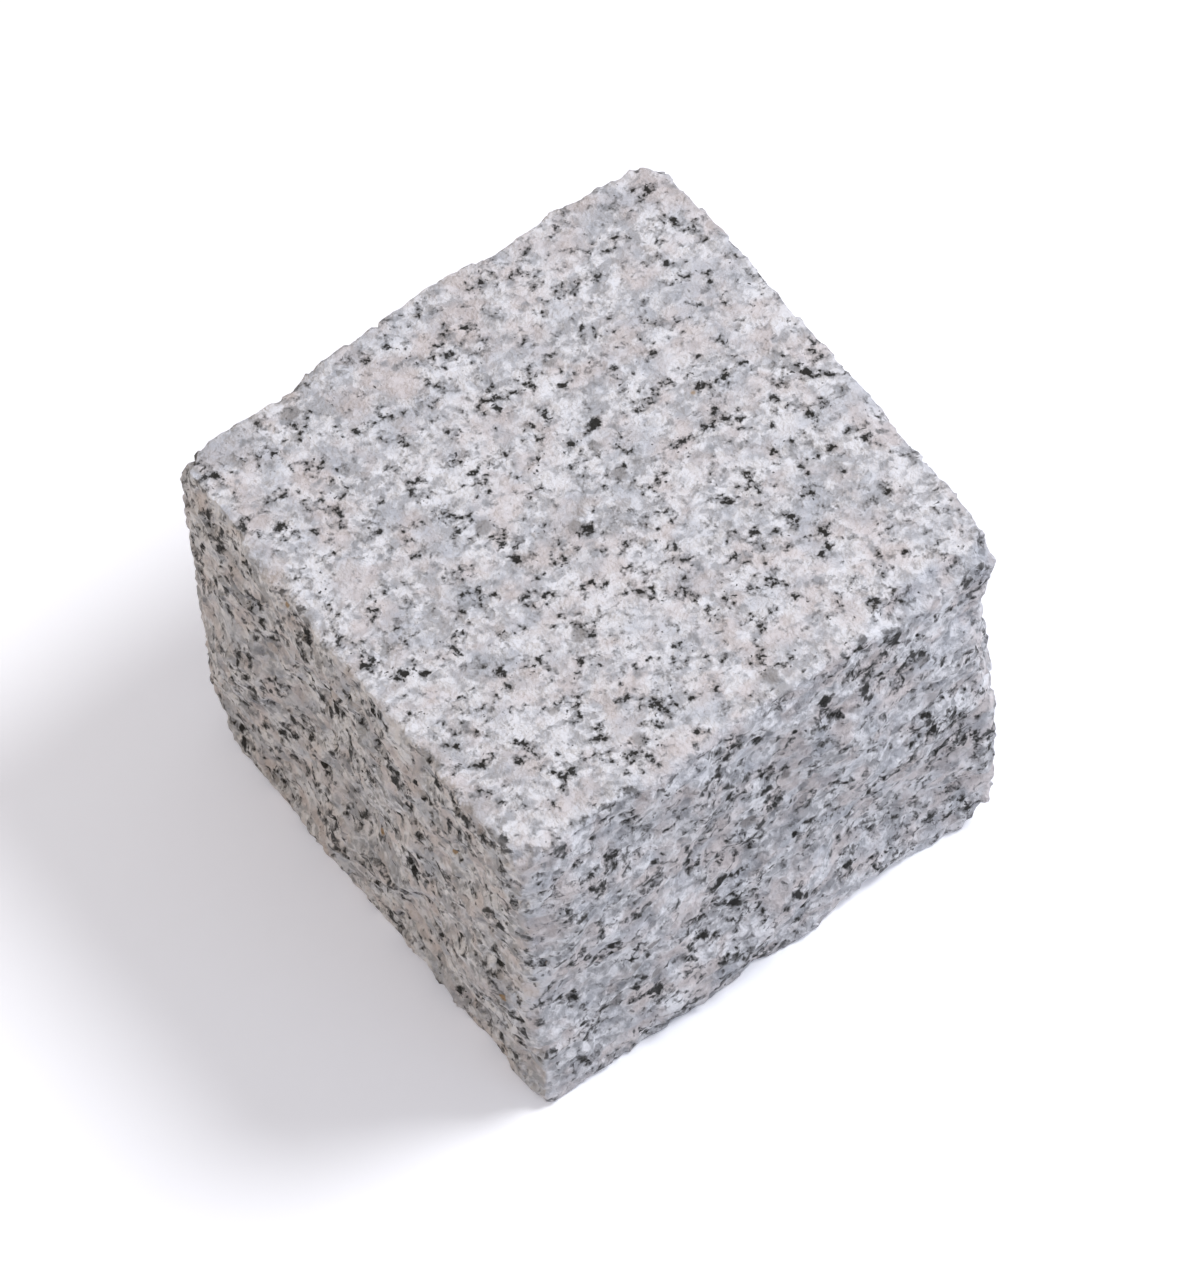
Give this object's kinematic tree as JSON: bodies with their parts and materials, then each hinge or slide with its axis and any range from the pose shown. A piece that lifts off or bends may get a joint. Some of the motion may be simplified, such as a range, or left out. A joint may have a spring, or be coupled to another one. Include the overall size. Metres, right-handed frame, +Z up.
{
  "type": "granite sett",
  "caption": "Squared granite paving sett with a flat textured wearing face, split wavy sides, worn arrises and a flat bedding face, laid in rows to pave drives and paths.",
  "frame": {"origin": "middle of the bedding face, at the centre of the block's plan box", "axes": "+Z up, square to the wearing face; +X along the front split face to the right; +Y to the back"},
  "size_m": [0.1042, 0.1052, 0.079],
  "materials": {
    "granite": "light grey granite, white feldspar, grey quartz and black biotite flecks, flamed top and split sides"
  },
  "bodies": {
    "root": {"granite_sett": "granite"}
  },
  "joints": []
}
